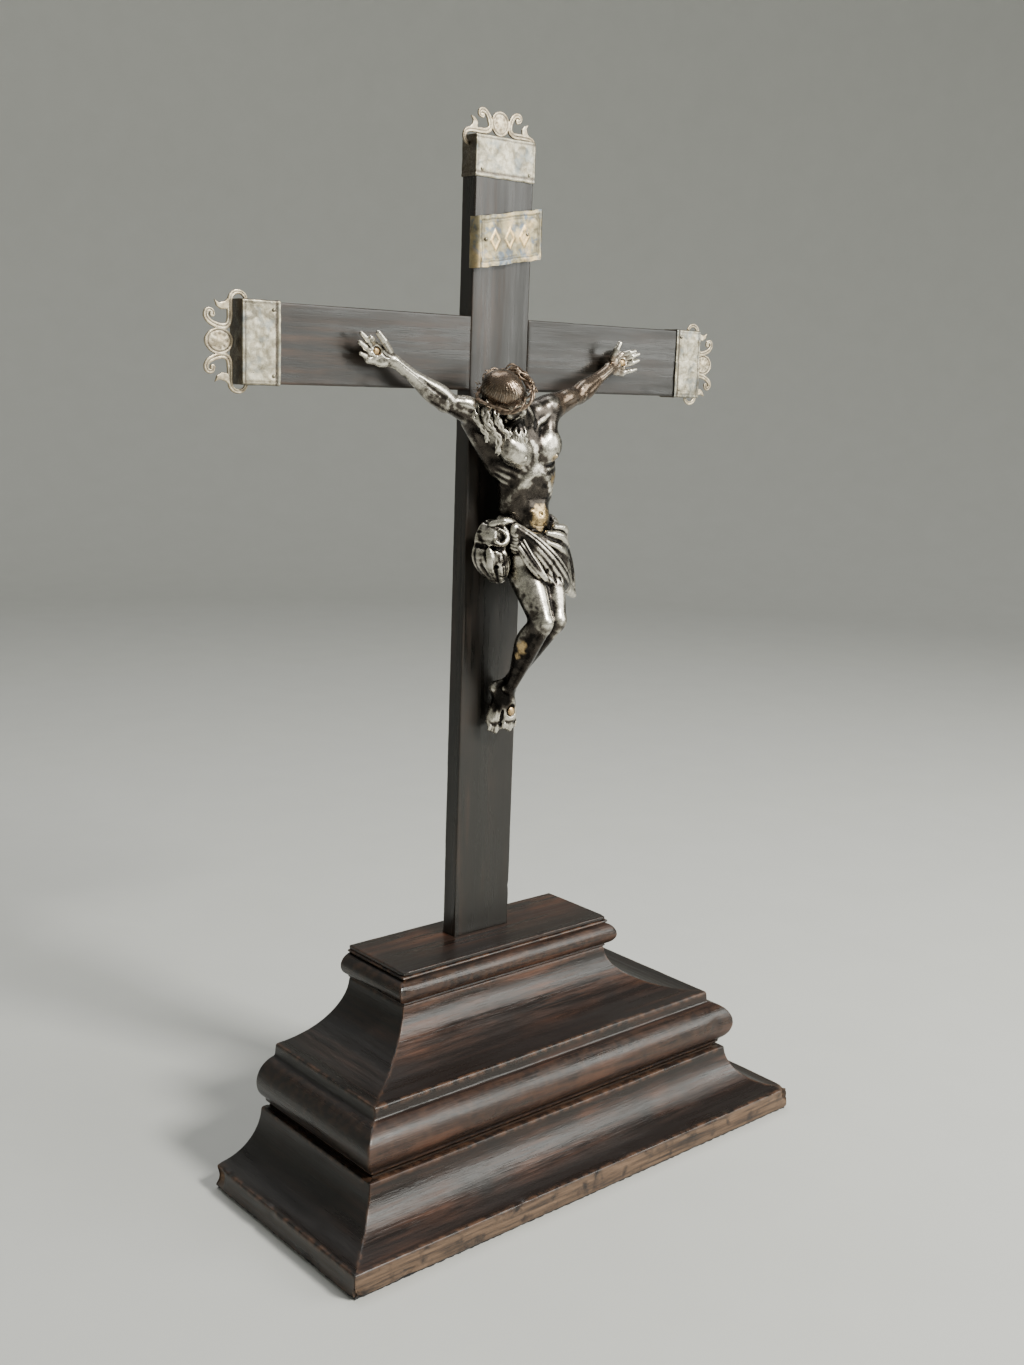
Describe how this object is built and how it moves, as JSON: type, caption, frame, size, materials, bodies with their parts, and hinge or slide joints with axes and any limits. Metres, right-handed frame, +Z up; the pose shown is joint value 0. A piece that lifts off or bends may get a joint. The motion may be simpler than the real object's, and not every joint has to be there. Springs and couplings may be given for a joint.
{
  "type": "altar cross",
  "caption": "Standing altar cross: ebonised cross on a stepped moulded base with flat back, silver end caps and crests, rolled plaque, cast figure with crown",
  "frame": {"origin": "centre of the bounding box at the height of the surface the base stands on; the base is centred on it", "axes": "+Z up along the upright; +X to the viewer's right along the cross arm; -Y towards the viewer, the base's flat back faces +Y"},
  "size_m": [0.372, 0.1376, 0.603],
  "materials": {
    "felt": "matte",
    "stained_core": "matte",
    "ebonised_base": "polished, worn brown at the edges",
    "ebonised_cross": "satin",
    "steel": "satin",
    "tarnished_silver": "tarnished",
    "crest_silver": "tarnished",
    "plaque_silver": "tarnished, blue and gold",
    "bronze": "dark patina with worn highlights",
    "crown_copper": "worn patina",
    "nail_brass": "worn"
  },
  "bodies": {
    "root": {"felt_lining": "felt", "core_lower": "stained_core", "core_middle": "stained_core", "core_upper": "stained_core", "lower_cove_front": "ebonised_base", "lower_cove_left": "ebonised_base", "lower_cove_right": "ebonised_base", "torus_front": "ebonised_base", "torus_left": "ebonised_base", "torus_right": "ebonised_base", "upper_cove_front": "ebonised_base", "upper_cove_left": "ebonised_base", "upper_cove_right": "ebonised_base", "cornice_front": "ebonised_base", "cornice_left": "ebonised_base", "cornice_right": "ebonised_base", "top_board": "ebonised_base", "post": "ebonised_cross", "cross_arm": "ebonised_cross", "fixing_screws": "steel", "cap_top": "tarnished_silver", "cap_left": "tarnished_silver", "cap_right": "tarnished_silver", "crest_top": "crest_silver", "crest_left": "crest_silver", "crest_right": "crest_silver", "cap_pins": "tarnished_silver", "plaque": "plaque_silver", "plaque_pins": "tarnished_silver", "figure_body": "bronze", "figure_left_arm": "bronze", "figure_right_arm": "bronze", "shoulder_dowels": "nail_brass", "crown_of_thorns": "crown_copper", "left_hand_nail": "nail_brass", "right_hand_nail": "nail_brass", "foot_nail": "nail_brass"}
  },
  "joints": []
}
